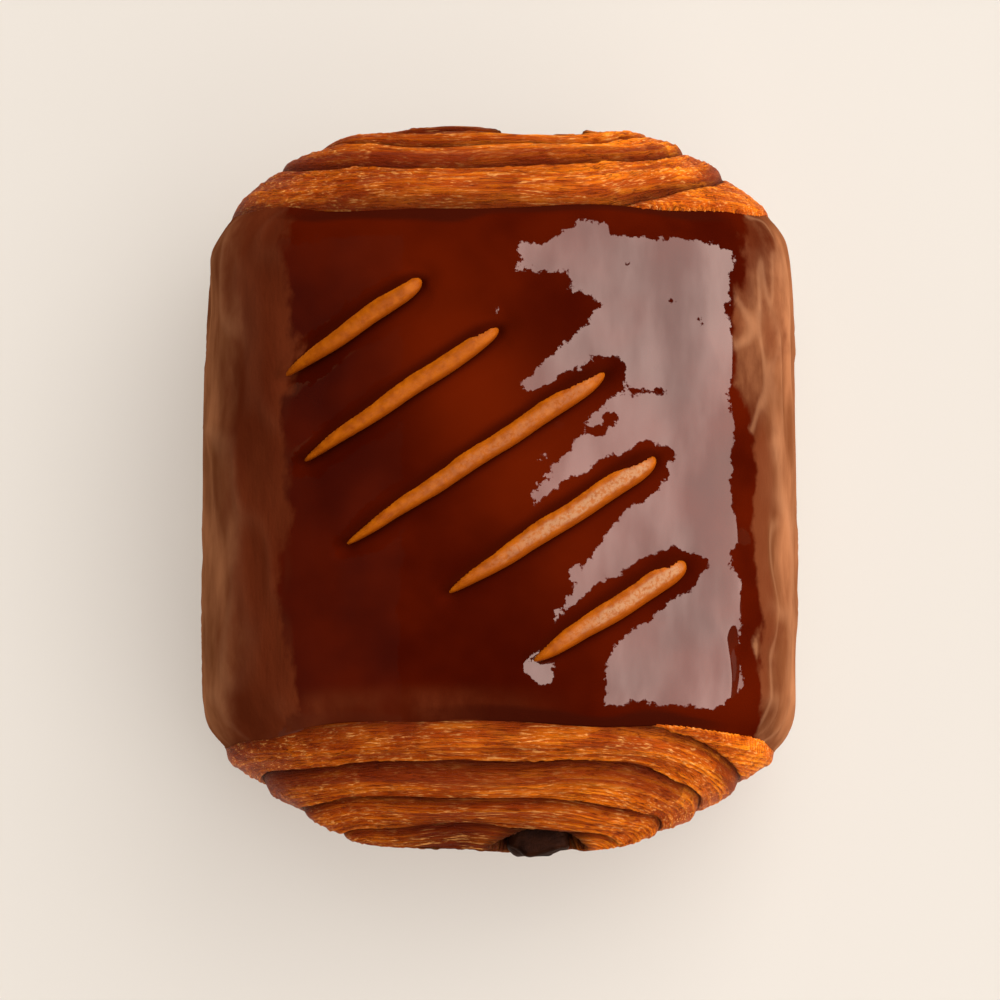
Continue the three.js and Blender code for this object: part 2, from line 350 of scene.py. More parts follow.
def makeLeaves():
    # The edges of thin leaves of dough: noise drawn out along the wrap, bent by slower noise. A streak
    # is where a noise is close to its middle, and streaks and painted glints each keep to their own
    # patches.
    inputs = {"Vector": None, "Along": 0.12, "Across": 2.4, "Bend": 0.5}
    outputs = ["Mask", "Fine", "Streak", "Glint"]
    group, given, made = newGroup("leaves", inputs, outputs, "Float")
    slow = addStretch(group, given.outputs["Vector"], (0.05, 0.22, 1.0))
    offset = addProduct(group, addNoise(group, slow, 1.0), given.outputs["Bend"])
    sideways = addNode(group, "ShaderNodeCombineXYZ", {"Y": offset}).outputs[0]
    inputs = {0: given.outputs["Vector"], 1: sideways}
    moved = addNode(group, "ShaderNodeVectorMath", inputs, operation="ADD").outputs[0]
    inputs = {"X": given.outputs["Along"], "Y": given.outputs["Across"], "Z": 1.0}
    drawn = addStretch(group, moved, addNode(group, "ShaderNodeCombineXYZ", inputs).outputs[0])
    patches = addNoise(group, moved, 0.35)
    fromMiddle = addMath(group, "SUBTRACT", addNoise(group, drawn, 1.3, 3.0), 0.5)
    fromMiddle = addMath(group, "ABSOLUTE", fromMiddle)
    streaked = addRange(group, patches, 0.4, 0.6)
    streak = addProduct(group, addRange(group, fromMiddle, 0.008, 0.035, 1.0, 0.0), streaked)
    spots = addNoise(group, addStretch(group, moved, (0.95, 3.4, 1.0)), 1.0, 4.0, 0.65)
    glintPatches = addRange(group, patches, 0.56, 0.44)
    glint = addProduct(group, addRange(group, spots, 0.52, 0.64), glintPatches)
    mask, fine = addNoise(group, drawn, 1.0, 3.0, 0.6), addNoise(group, drawn, 2.6, 4.0, 0.65)
    setInputs(group, made, {"Mask": mask, "Fine": fine, "Streak": streak, "Glint": glint})
    return group


mottle, grain, leaves = makeMottle(), makeGrain(), makeLeaves()


def addMottle(tree, vector, scale, contrast, dark, light):
    inputs = {"Vector": vector, "Scale": scale, "Contrast": contrast, "Dark": dark, "Light": light}
    return addNode(tree, "ShaderNodeGroup", inputs, node_tree=mottle).outputs["Color"]


def addGrain(tree, vector, scale, fineShare, distance, normal=None, strength=1.0):
    inputs = {"Vector": vector, "Scale": scale, "Fine Share": fineShare, "Strength": strength}
    inputs["Distance"] = distance
    if normal is not None:
        inputs["Normal"] = normal
    return addNode(tree, "ShaderNodeGroup", inputs, node_tree=grain).outputs["Normal"]


# The crust piece. Spacings and relief are in millimetres. Lips are the turned-up edge on the upper
# left of each cut, valleys are the dips on the lower right, and bubbles are small bumps and dents.
# Past its edge the crust draws in under the dough, step by step.
crustValues = {
    "topSpacing": 0.42,
    "baseSpacing": 1.3,
    "rowSpacing": 0.42,
    "valleyMargin": 3.11,
    "valleyDepth": 1.28,
    "lipMargin": 1.5,
    "lipRise": 0.6,
    "foldDepth": 0.42,
    "fineFold": 0.14,
    "swell": 0.3,
    "wrinkle": 0.012,
    "sideWrinkle": 0.16,
    "speckle": 0.006,
    "edgeDrop": [0.2, 0.6, 1.2, 2.4],
    "edgePast": [0.3, 0.4, 0.2, -1.8],
    "warm": {"x": -2, "y": 8, "strength": 0.7, "across": 11, "along": 22},
}
bubbles = [
    {"x": -0.4, "y": 21.3, "radius": 0.55, "height": 0.14},
    {"x": -9.8, "y": 12.2, "radius": 0.35, "height": 0.06},
    {"x": -7.6, "y": 7.4, "radius": 0.35, "height": 0.06},
    {"x": 6.4, "y": 24.8, "radius": 0.4, "height": 0.07},
    {"x": 3.2, "y": 12.6, "radius": 0.35, "height": 0.06},
    {"x": 17.9, "y": 28.3, "radius": 0.45, "height": -0.1},
    {"x": 24.4, "y": 23.4, "radius": 0.45, "height": -0.1},
    {"x": 28.2, "y": 20.7, "radius": 0.4, "height": -0.08},
]


# Where the glaze lies thick and mirrors the window: a field on the right of the crown, whose lobes
# run in between the cuts, and all that lies left of farLeft. Each lobe is bounded by a line through
# a place at an angle to X, and stops short of the cuts. Patches and pits are places with more and
# with less glaze.
glazeField = {
    "farLeft": -14,
    "leftBack": 32.5,
    "left": 2.6,
    "right": 33,
    "rightFront": 34,
    "front": -33.9,
    "back": 32.3,
    "corner": 4,
    "besideCut": 1.5,
    "belowCut": 2.3,
    "lobeFront": 27.3,
    "recess": {"x": 14.5, "y": 22.3, "left": 10.2, "angle": 25},
    "lobes": [
        {"x": 14.5, "y": 22.3, "angle": 45.7, "left": 3.4},
        {"x": 17.2, "y": 10.9, "angle": 51.4, "left": 4.7},
        {"x": 23.2, "y": 0.8, "angle": 55.6, "left": 8},
        {"x": 26.6, "y": -13.1, "angle": 49, "left": 14.9},
    ],
    "patches": [
        {"x": 5.6, "y": -29.4, "radius": 2.0, "length": 0.4},
        {"x": 34.6, "y": -9.5, "radius": 1.2},
        {"x": 8.4, "y": 5.2, "radius": 0.35},
        {"x": 6.2, "y": 1.2, "radius": 0.25},
        {"x": 10.4, "y": -16.0, "radius": 0.9},
        {"x": -0.4, "y": 21.3, "radius": 0.15},
    ],
    "pits": [
        {"x": 15.4, "y": 6.3, "radius": 0.8, "length": 0.4},
        {"x": 13.1, "y": 4.6, "radius": 0.5, "length": 1.6},
        {"x": 17.9, "y": 28.3, "radius": 0.55},
        {"x": 24.4, "y": 23.4, "radius": 0.5},
        {"x": 28.3, "y": 20.7, "radius": 0.45},
        {"x": 20.5, "y": 10.3, "radius": 0.35, "length": 3.6},
    ],
}

# The glazed crust's looks: mahogany on top, milk-brown down the sides, dry gold underneath. The
# glaze ends at a wavering line, this far to the left and to the right of the middle in metres, and a
# little nearer on the right towards the far end. Ends are between which places a colour blends in.
crustLook = {
    "topDark": (0.036, 0.0023, 0.0004, 1),
    "topLight": (0.068, 0.005, 0.0005, 1),
    "rimRedAndShade": (0.036, 0.003, 0.0005, 1),
    "warm": (0.12, 0.0105, 0.0008, 1),
    "seamShade": (0.035, 0.004, 0.0015, 1),
    "shadeDark": (0.086, 0.015, 0.0048, 1),
    "shadeLight": (0.122, 0.0245, 0.008, 1),
    "sideDark": (0.16, 0.053, 0.02, 1),
    "sideLight": (0.36, 0.15, 0.068, 1),
    "crestHighlight": (0.52, 0.27, 0.145, 1),
    "dim": (0.68, 0.66, 0.66, 1),
    "patch": (0.13, 0.032, 0.011, 1),
    "baseDark": (0.26, 0.1, 0.025, 1),
    "baseLight": (0.5, 0.26, 0.08, 1),
    "glazeLeft": 0.0305,
    "glazeRight": 0.037,
    "glazeNearer": 0.0022,
    "shadeEnds": (0.034, 0.0405),
    "dimEnds": (0.0375, 0.0415),
    "baseEnds": (0.009, 0.017),
    "roughness": 0.5,
    "glazeRoughness": 0.02,
    "glazeIor": 1.52,
    "edgeRagged": 2.2,
    "edgeBulge": 3.4,
}


def flankColor(tree, drawn, offWaver, x):
    # The sides: painted shade next to the glaze and milk-brown further out, with painted highlights along
    # the fold crests. The upper part of the right side has darker patches, each with a painted highlight
    # line round it.
    shade = addMottle(tree, drawn, 110.0, 0.2, crustLook["shadeDark"], crustLook["shadeLight"])
    side = addMottle(tree, drawn, 170.0, 0.24, crustLook["sideDark"], crustLook["sideLight"])
    offReach = addProduct(tree, offWaver, addRange(tree, x, -0.02, 0.02, 0.008, 0.02))
    further = addRange(tree, x, -0.02, 0.02, -0.0022, 0.0)
    reach = addSum(tree, addMath(tree, "ABSOLUTE", x), addSum(tree, offReach, further))
    flank = addMix(tree, addRange(tree, reach, *crustLook["shadeEnds"]), shade, side)
    # Pale along the fold crests: a painted highlight.
    crestHighlight = addProduct(tree, addMark(tree, "crestHighlight"), addRange(tree, reach, 0.032, 0.04, 0.03, 0.14))
    flank = addMix(tree, crestHighlight, flank, crustLook["crestHighlight"])
    inward = addRange(tree, x, *crustLook["dimEnds"], 1.0, 0.0)
    onRight = addProduct(tree, inward, addRange(tree, x, 0.03, 0.032))
    flank = addMix(tree, onRight, flank, crustLook["dim"], "MULTIPLY")
    patches = addNoise(tree, drawn, 150.0, 1.0)
    patched = addProduct(tree, addRange(tree, patches, 0.5, 0.62, 0.0, 0.75), onRight)
    flank = addMix(tree, patched, flank, crustLook["patch"])
    fromLine = addMath(tree, "ABSOLUTE", addMath(tree, "SUBTRACT", patches, 0.495))
    lined = addProduct(tree, addRange(tree, fromLine, 0.0, 0.045, 0.2, 0.0), onRight)
    return addMix(tree, lined, flank, crustLook["crestHighlight"])


def pastGlaze(tree, waver, offWaver, parts):
    # 1 where the crust is bare: past the wavering line on each side, and in the veil at the front.
    x, y = parts.outputs["X"], parts.outputs["Y"]
    offLine = addProduct(tree, offWaver, addRange(tree, x, -0.02, 0.02, 0.017, 0.01))
    nearer = addRange(tree, y, -0.022, 0.026, 0.0, crustLook["glazeNearer"])
    nearer = addProduct(tree, nearer, addRange(tree, x, 0.0, 0.03))
    across = addSum(tree, addSum(tree, x, offLine), nearer)
    right, left = crustLook["glazeRight"], -crustLook["glazeLeft"]
    pastRight = addRange(tree, across, right - 0.0006, right + 0.0004)
    pastLeft = addRange(tree, across, left - 0.0012, left + 0.0008, 1.0, 0.0)
    past = addMath(tree, "ADD", pastRight, pastLeft, clamp=True)
    veil = addProduct(tree, addMark(tree, "veil"), addRange(tree, waver, 0.35, 0.6, 0.3, 0.9))
    return addMath(tree, "MAXIMUM", past, veil)


def glazeCover(tree, place, drawn, bare):
    # How much glaze there is: all of it inside the field, whose edge is ragged and bulging, less in
    # clouds, and none where the crust is bare.
    ragged = addAwayFromMiddle(tree, addNoise(tree, place, 1250.0, 5.0, 0.65), crustLook["edgeRagged"])
    bulging = addAwayFromMiddle(tree, addNoise(tree, place, 260.0), crustLook["edgeBulge"])
    inField = addSum(tree, addSum(tree, addMark(tree, "field"), ragged), bulging)
    thick = addRange(tree, inField, -0.07, 0.07)
    covered = addProduct(tree, addMath(tree, "SUBTRACT", 1.0, bare), thick)
    cloud = addNoise(tree, drawn, 110.0, 4.0)
    return addProduct(tree, covered, addRange(tree, cloud, 0.34, 0.66, 0.58, 1.0))


def crustMaterial():
    material, tree, shader = newMaterial("crustGlaze")
    place = addPlace(tree)
    parts = addNode(tree, "ShaderNodeSeparateXYZ", {0: place})
    drawn = addStretch(tree, place, (1.0, 0.35, 1.0))
    waver = addNoise(tree, addStretch(tree, place, (1.0, 0.75, 1.0)), 105.0, 5.0, 0.55)
    offWaver = addMath(tree, "SUBTRACT", waver, 0.5)
    top = addMottle(tree, place, 55.0, 0.18, crustLook["topDark"], crustLook["topLight"])
    top = addMix(tree, addMark(tree, "warm"), top, crustLook["warm"])
    # Darker red round the cuts: partly the glaze's own colour, partly painted shade beside the cut dough.
    top = addMix(tree, addMark(tree, "rim"), top, crustLook["rimRedAndShade"])
    flank = flankColor(tree, drawn, offWaver, parts.outputs["X"])
    bare = pastGlaze(tree, waver, offWaver, parts)
    crust = addMix(tree, bare, top, flank)
    # A dark line along the crust's edges: painted shade where it meets the ends.
    crust = addMix(tree, addMark(tree, "seamShade"), crust, crustLook["seamShade"])
    base = addMottle(tree, place, 170.0, 0.2, crustLook["baseDark"], crustLook["baseLight"])
    low = addSum(tree, parts.outputs["Z"], addProduct(tree, waver, 0.012))
    crust = addMix(tree, addRange(tree, low, *crustLook["baseEnds"], 1.0, 0.0), crust, base)
    folded = addProduct(tree, bare, crustValues["sideWrinkle"] / 1000)
    normal = addGrain(tree, drawn, 600.0, 0.35, folded)
    normal = addGrain(tree, place, 950.0, 0.3, crustValues["wrinkle"] / 1000, normal)
    normal = addGrain(tree, place, 2700.0, 0.4, crustValues["speckle"] / 1000, normal)
    inputs = {
        "Base Color": crust,
        "Normal": normal,
        "Roughness": crustLook["roughness"],
        "Specular IOR Level": 0,
        "Coat Weight": glazeCover(tree, place, drawn, bare),
        "Coat Roughness": crustLook["glazeRoughness"],
        "Coat IOR": crustLook["glazeIor"],
    }
    setInputs(tree, shader, inputs)
    return material


# The ends' looks: gold leaves with brown edges, red-brown where a wrap's own skin shows, deepened
# in the main groove as painted shade, painted shade in the creases and painted glints on the leaves.
# They are a little darker on the left and paler on the right as painted light, and clouded all over.
doughLook = {
    "gold": (0.66, 0.15, 0.004, 1),
    "paleGold": (0.95, 0.34, 0.03, 1),
    "glint": (1.0, 0.5, 0.14, 1),
    "brown": (0.4, 0.062, 0.002, 1),
    "streak": (0.16, 0.014, 0.001, 1),
    "skinAndShade": (0.17, 0.016, 0.0014, 1),
    "crease": (0.06, 0.006, 0.0008, 1),
    "toast": (0.1, 0.009, 0.001, 1),
    "chocolate": (0.02, 0.006, 0.002, 1),
    "cloudDark": (0.68, 0.56, 0.5, 1),
    "cloudLight": (1.15, 1.2, 1.2, 1),
    "leftShadeTint": (0.92, 0.86, 0.7, 1),
    "rightLightTint": (1.4, 1.55, 1.1, 1),
    "roughness": 0.36,
    "specular": 0.03,
    "ribHeight": 0.0004,
}


def doughMaterial():
    material, tree, shader = newMaterial("leafedDough")
    place = addPlace(tree)
    wrapPlace = addNode(tree, "ShaderNodeUVMap", uv_map="UVMap").outputs["UV"]
    millimetres = addStretch(tree, wrapPlace, (100.0, 100.0, 1.0))
    inputs = {"Vector": millimetres, "Along": 0.2, "Across": 1.8, "Bend": 1.5}
    leaf = addNode(tree, "ShaderNodeGroup", inputs, node_tree=leaves)
    mask, fine = leaf.outputs["Mask"], leaf.outputs["Fine"]
    streak, glint = leaf.outputs["Streak"], leaf.outputs["Glint"]
    height = addSum(tree, addMark(tree, "leaf"), addProduct(tree, mask, 0.8))
    body = addMix(tree, addRange(tree, height, 0.45, 1.15), doughLook["brown"], doughLook["gold"])
    tips = addProduct(tree, addRange(tree, fine, 0.5, 0.68), addRange(tree, height, 0.6, 1.2))
    pale = addMath(tree, "MAXIMUM", tips, addProduct(tree, addMark(tree, "chip"), 0.35))
    body = addMix(tree, addProduct(tree, pale, 0.7), body, doughLook["paleGold"])
    cloud = addMottle(tree, place, 90.0, 0.22, doughLook["cloudDark"], doughLook["cloudLight"])
    body = addMix(tree, 1.0, body, cloud, "MULTIPLY")
    x = addNode(tree, "ShaderNodeSeparateXYZ", {0: place}).outputs["X"]
    # Darker on the left and paler on the right: painted light falling from the right.
    paintedLightTint = addMix(tree, addRange(tree, x, -0.01, 0.034), doughLook["leftShadeTint"], doughLook["rightLightTint"])
    body = addMix(tree, 1.0, body, paintedLightTint, "MULTIPLY")
    body = addMix(tree, addProduct(tree, streak, 0.75), body, doughLook["streak"])
    body = addMix(tree, addProduct(tree, addMark(tree, "toast"), 0.85), body, doughLook["toast"])
    # Red-brown skin of each wrap: partly its own colour, partly painted shade in the main groove.
    skinAndShade = addMark(tree, "skinAndShade")
    body = addMix(tree, addProduct(tree, skinAndShade, 0.65), body, doughLook["skinAndShade"])
    onLeaves = addMath(tree, "SUBTRACT", 0.7, addProduct(tree, skinAndShade, 0.5))
    # Pale pinkish glints on the leaves, fewer on the skin: painted highlights.
    body = addMix(tree, addProduct(tree, glint, onLeaves), body, doughLook["glint"])
    # Dark in the creases between the wraps: painted shade.
    body = addMix(tree, addMark(tree, "crease"), body, doughLook["crease"])
    body = addMix(tree, addMark(tree, "stain"), body, doughLook["chocolate"])
    ribs = addSum(tree, mask, addProduct(tree, fine, 1.2))
    ribs = addMath(tree, "SUBTRACT", ribs, addProduct(tree, streak, 0.3))
    inputs = {"Height": ribs, "Strength": 1.0, "Distance": doughLook["ribHeight"]}
    edge = addNode(tree, "ShaderNodeBump", inputs).outputs["Normal"]
    setLook(tree, shader, body, addGrain(tree, place, 1500.0, 0.5, 0.0001, edge), doughLook)
    return material


# The dough that swells up in the cuts: gold, browner at its edges, with a speckled painted highlight on
# top.
cutLook = {
    "gold": (0.25, 0.052, 0.0012, 1),
    "paleGold": (0.38, 0.095, 0.002, 1),
    "brown": (0.24, 0.045, 0.0015, 1),
    "paintedHighlight": (0.4, 0.225, 0.12, 1),
    "roughness": 0.3,
    "specular": 0.02,
}


def cutMaterial():
    material, tree, shader = newMaterial("cutDough")
    place = addPlace(tree)
    body = addMottle(tree, place, 700.0, 0.24, cutLook["gold"], cutLook["paleGold"])
    body = addMix(tree, addRange(tree, addMark(tree, "edge"), 0.55, 0.98), body, cutLook["brown"])
    # The painted highlight on top, broken into speckles by fine noise.
    highlightSpeckle = addNoise(tree, place, 1900.0, 4.0, 0.65)
    speckledHighlight = addProduct(tree, addMark(tree, "paintedHighlight"), addRange(tree, highlightSpeckle, 0.38, 0.56, 0.3, 1.0))
    body = addMix(tree, speckledHighlight, body, cutLook["paintedHighlight"])
    setLook(tree, shader, body, addGrain(tree, place, 1500.0, 0.6, 0.0001), cutLook)
    return material


# Dark chocolate, dulled by the oven.
chocolateLook = {
    "dark": (0.006, 0.0016, 0.0006, 1),
    "light": (0.022, 0.006, 0.002, 1),
    "roughness": 0.45,
    "specular": 0.02,
}


def chocolateMaterial():
    material, tree, shader = newMaterial("darkChocolate")
    place = addPlace(tree)
    body = addMottle(tree, place, 500.0, 0.2, chocolateLook["dark"], chocolateLook["light"])
    rough = addGrain(tree, place, 900.0, 0.6, 0.0003, strength=0.5)
    setLook(tree, shader, body, rough, chocolateLook)
    return material


def cutHalfWidth(share, width):
    # Half a cut's width along it, share from -1 to 1: the root of 1 - |share|^n, where n goes from 2
    # on the lower left to 6 on the upper right, so that the upper end is blunt.
    power = 2 + 4 * smooth(0, 1, share)
    return width / 2 * np.sqrt(np.maximum(0, 1 - np.abs(share) ** power)) * (1 + 0.12 * share)


def placeInCut(cut, x, y):
    # How far a point is along and across a cut from its middle.
    along = (x - cut["x"]) * np.cos(cutAngle) + (y - cut["y"]) * np.sin(cutAngle)
    across = -(x - cut["x"]) * np.sin(cutAngle) + (y - cut["y"]) * np.cos(cutAngle)
    return along, across


def cutRelief(x, y):
    # The crust round the cuts, and how close a point is to one: on the lower right it dips to the
    # cut's edge, and on the upper left it turns up, both with a power of the way in to the edge.
    height, nearest = np.zeros_like(x), np.zeros_like(x)
    for number, cut in enumerate(cuts):
        along, across = placeInCut(cut, x, y)
        half = cut["length"] / 2
        uneven = 1 + 0.3 * wave(along / 4 + 50, number * 7 + across * 0.3 + 50, 41)
        upper = smooth(-0.4, 0.5, across) * smooth(half + 2, half - 3.5, along)
        inner = np.maximum(0, cutHalfWidth(np.clip(along / half, -1, 1), cut["width"]) - 0.5)
        pastEnd = np.maximum(0, np.abs(along) - half + 0.8)
        away = np.hypot(np.maximum(0, np.abs(across) - inner), pastEnd)
        toValley = np.clip(1 - away / (crustValues["valleyMargin"] * uneven + 0.5), 0, 1)
        toLip = np.clip(1 - away / (crustValues["lipMargin"] * uneven + 0.5), 0, 1)
        rise = crustValues["lipRise"] * upper * toLip ** 1.1
        dip = crustValues["valleyDepth"] * (1 - upper) * toValley ** 1.6
        closeness = np.maximum(toValley, toLip)
        height = np.where(closeness > nearest, rise - dip, height)
        nearest = np.maximum(nearest, closeness)
    return height, nearest


def crownSwell(x, y):
    # The uneven rise of the crown: slow waves.
    return crustValues["swell"] * wave(x / 9 + 40, y / 9 + 40, 3)


def lobeDistance(x, y, lobe):
    # How far a point is to the lower right of a line through a place at an angle, or past its left end.
    angle = math.radians(lobe["angle"])
    past = (x - lobe["x"]) * np.sin(angle) - (y - lobe["y"]) * np.cos(angle)
    return np.minimum(past, x - lobe["left"])


def spotDistance(x, y, spot):
    # How far a point is inside a spot with round ends, drawn out along X.
    fromLine = np.maximum(0, np.abs(x - spot["x"]) - spot.get("length", 0) / 2)
    return spot["radius"] - np.hypot(fromLine, y - spot["y"])


def fieldDistance(x, y):
    # How far a point is inside the field of thick glaze, in millimetres: a box with round corners,
    # narrowed strip by strip to the lobes between the cuts, less the surroundings of the cuts.
    # The right edge wavers and goes out towards the front, and the far edge steps back near its end.
    right = glazeField["right"] + (glazeField["rightFront"] - glazeField["right"]) * smooth(0, -30, y)
    right = right + 1.3 * wave(y / 4.5 + 40, 0 * y + 3, 17)
    back = glazeField["back"] + smooth(15.8, 15.1, x) * (3.4 * smooth(5.5, 12.5, x) - 1.2)
    corner = glazeField["corner"]
    toRight, toBack = corner - (right - x), corner - np.minimum(back - y, y - glazeField["front"])
    inBox = corner - np.hypot(np.maximum(0, toRight), np.maximum(0, toBack))
    inBox = inBox - np.minimum(0, np.maximum(toRight, toBack))
    recess = glazeField["recess"]
    slope = math.radians(recess["angle"])
    overRecess = (y - recess["y"]) * np.cos(slope) + (x - recess["x"]) * np.sin(slope)
    overRecess = np.minimum(overRecess, x - recess["left"])
    firstLobe = np.minimum(y - glazeField["lobeFront"], x - glazeField["left"])
    strip = np.maximum(lobeDistance(x, y, glazeField["lobes"][0]), np.maximum(overRecess, firstLobe))
    outside = np.full_like(x, 9.0)
    for number, cut in enumerate(cuts):
        along, across = placeInCut(cut, x, y)
        half = cut["length"] / 2
        if number > 1:
            lobe = lobeDistance(x, y, glazeField["lobes"][number - 1])
            strip = np.where(across < 0, np.maximum(lobe, along - half), strip)
        edge = cutHalfWidth(np.clip(along / half, -1, 1), cut["width"])
        away = np.hypot(np.maximum(0, np.abs(across) - edge), np.maximum(0, np.abs(along) - half))
        margin = glazeField["belowCut"] - glazeField["besideCut"]
        margin = glazeField["besideCut"] + margin * smooth(0.5, -1, across)
        outside = np.minimum(outside, away - margin)
    inBox = np.minimum(inBox, strip)
    onLeft = np.minimum(glazeField["farLeft"] - x, glazeField["leftBack"] - y)
    field = np.minimum(np.maximum(inBox, onLeft), outside)
    for patch in glazeField["patches"]:
        field = np.maximum(field, spotDistance(x, y, patch))
    for pit in glazeField["pits"]:
        field = np.minimum(field, -spotDistance(x, y, pit))
    return field


def crustRelief(angle, x, y, z):
    # Height over the plain crust: slow waves and bubbles on top, folds drawn out along the sides,
    # whose crests are where a noise passes its middle, and the lips and valleys round the cuts.
    # Also gives how close a cut is, and where the fold crests get a painted highlight.
    onSide = smooth(0.5, 0.92, np.abs(np.cos(angle))) * smooth(1, 7, z)
    arc = z + np.sign(x) * 90
    bend = 3 * noise(y / 16 + 20, arc / 9 + 20, 5)
    fold = noise((arc + bend * 2) / 3.6 + 60, y / 13 + 60, 7)
    fine = noise((arc + bend) / 1.4 + 60, y / 5 + 60, 8)
    ridged = 1 - np.abs(2 * fold - 1)
    folds = crustValues["foldDepth"] * (2 * ridged - 1) + crustValues["fineFold"] * (fine - 0.5)
    cutHeight, nearest = cutRelief(x, y)
    onTop = smooth(0.1, 0.4, np.sin(angle))
    rise = crownSwell(x, y)
    for bubble in bubbles:
        away = ((x - bubble["x"]) ** 2 + (y - bubble["y"]) ** 2) / bubble["radius"] ** 2
        rise = rise + bubble["height"] * np.exp(-away)
    relief = smooth(0, 2.5, z) * (rise * (1 - onSide) + folds * onSide) + cutHeight * onTop
    return relief, nearest * onTop, smooth(0.7, 1, ridged + 0.06 * (fine - 0.5)) * onSide


def makeCrust(material):
    # A tube: angles round by places along, with both its ends turned in under the dough's edge.
    angle = anglesRound(crustValues["topSpacing"], crustValues["baseSpacing"])
    edge = edgeOf(angle, 1) + 0.35 * np.sin(5 * angle + 1) + 0.2 * np.sin(11 * angle)
    inner = np.linspace(-1, 1, int(2 * loaf["halfLength"] / crustValues["rowSpacing"]) | 1)
    past = np.array(crustValues["edgePast"])
    drop = np.array(crustValues["edgeDrop"])
    share = np.concatenate([-np.ones(len(past)), inner, np.ones(len(past))])
    beyond = np.concatenate([past[::-1], np.zeros(len(inner)), past])
    inset = np.concatenate([drop[::-1], np.zeros(len(inner)), drop])
    y = share[:, None] * edge[None, :] + np.sign(share)[:, None] * beyond[:, None]
    around = np.broadcast_to(angle, y.shape)
    fromEdge = (1 - np.abs(share))[:, None] * edge[None, :]
    isFront = y < 0
    frontX, frontZ = crustSection(around, fromEdge, "front")
    backX, backZ = crustSection(around, fromEdge, "back")
    x, z = np.where(isFront, frontX, backX), np.where(isFront, frontZ, backZ)
    middle = loaf["widestHeight"]
    x = x * (1 - inset[:, None] / (loaf["width"] / 2))
    z = middle + (z - middle) * (1 - inset[:, None] / (loaf["height"] / 2))
    points = np.stack([x, y, z], axis=2)
    relief, nearest, crestHighlight = crustRelief(around, x, y, z)
    relief = relief * smooth(-0.5, 4, fromEdge)
    points = points + gridNormals(points, 1) * relief[:, :, None]
    points[:, :, 2] = np.maximum(points[:, :, 2], 0)
    points[:, -1] = points[:, 0]
    girth = np.broadcast_to(np.linspace(0, 2.3, len(angle)), y.shape)
    uv = np.stack([girth, y / 100 + 0.5], axis=2)
    # The looks' marks: a dull veil along the front edge, a warm glow between the cuts, and a dark line of
    # uneven width along both edges, painted shade where the crust meets the ends.
    veil = smooth(5.5, 2, fromEdge) * isFront * smooth(14, -6, x) * smooth(30, 40, z)
    glow = crustValues["warm"]
    offX, offY = x - glow["x"], y - glow["y"]
    away = (offX + 0.5 * offY) ** 2 / glow["across"] ** 2 + offY ** 2 / glow["along"] ** 2
    warm = glow["strength"] * np.exp(-away)
    seamShadeWidth = 0.35 + 1.5 * noise(x / 7 + 40, np.sign(y) * 9 + 40, 19)
    seamShade = 0.85 * smooth(seamShadeWidth + 0.5, seamShadeWidth - 0.3, fromEdge) * smooth(36, 42, z)
    seamShade = seamShade * np.where(isFront, smooth(-14, 0, x), 1)
    marks = {
        "veil": veil,
        "rim": smooth(0.5, 0.95, nearest),
        "field": fieldDistance(x, y),
        "crestHighlight": crestHighlight,
        "warm": warm,
        "seamShade": seamShade,
    }
    buildPiece("crust", points, 1, uv, marks, material, ["pastry"])


# The two ends, with the wraps of the roll as stepped lips.
endValues = {
    "topSpacing": 0.36,
    "baseSpacing": 0.9,
    "riserRows": 9,
    "lipRows": 30,
    "leafThickness": 0.8,
    "leafDepth": 0.36,
    "chipDepth": 0.16,
    "wrapLength": 185,
    "wrapShrink": 0.11,
    "tuckAcross": 0.975,
    "tuckHeight": 0.96,
    "tuckDepth": 1.6,
}


def endSurface(name, angle, spiral):
    # A place on an end: ratio is 1 at the crust and 0 at the core, and spiral counts wraps inwards.
    # The end stands out by a dome, 1 - ratio^power, with each wrap a rounded step up, (t(2 - t))^power,
    # and a slow fall to the next crease. The steps are lower at the sides.
    end = ends[name]
    tail = smooth(roll["turnFrom"], roll["turnTo"], np.degrees(angle))
    passed = np.maximum(0, spiral - tail) / roll["wraps"]
    ratio = np.clip(1 - passed ** end["wrapPower"], 0, 1)
    outerX, outerZ = crustSection(angle, 0, name)
    coreX, coreZ = roll["coreHalfWidth"] * np.cos(angle), roll["coreHeight"]
    x, z = coreX + (outerX - coreX) * ratio, coreZ + (outerZ - coreZ) * ratio
    dome = roll["firstStep"] + (end["reach"] - roll["firstStep"]) * (1 - ratio ** end["domePower"])
    wrap = np.minimum(np.floor(spiral + 1e-9), roll["wraps"]).astype(int)
    across = np.clip(spiral - wrap, 0, 1)
    steps = np.array(end["steps"])
    stepIn, stepOut = steps[wrap], steps[np.maximum(wrap - 1, 0)]
    toTop = np.minimum(1, across / lip["rise"])
    risen = (toTop * (2 - toTop)) ** lip["power"]
    fallen = np.maximum(0, (across - lip["rise"]) / (1 - lip["rise"]))
    share = 1 - (1 - lip["sideShare"]) * smooth(0.3, 1, np.abs(np.cos(angle)))
    profile = share * (stepIn / 2 * (risen - 2 * fallen) - stepOut / 2 * (1 - risen))
    toCrease = np.minimum(across, 1 - across) / lip["creaseWidth"]
    crease = np.exp(-(toCrease ** 2))
    phase = end["phase"]
    uneven = 0.3 * np.sin(3 * angle + 1.4 * spiral + phase)
    uneven += 0.22 * np.sin(7 * angle - 2.1 * spiral + 1 + phase)
    out = dome + profile - lip["crease"] * crease + uneven
    fromCore, fromEdge = smooth(0, 0.16, ratio), 1 - smooth(0.975, 1, ratio)
    out = fromEdge * (end["reach"] + (out - end["reach"]) * fromCore)
    away = ((x - bar["x"]) ** 2 + (z - bar["z"]) ** 2) / mouth["swellWidth"] ** 2
    y = edgeOf(angle, ratio) + out + end["swell"] * np.exp(-away)
    return x, y, z, ratio, wrap, across, crease * fromCore, tail


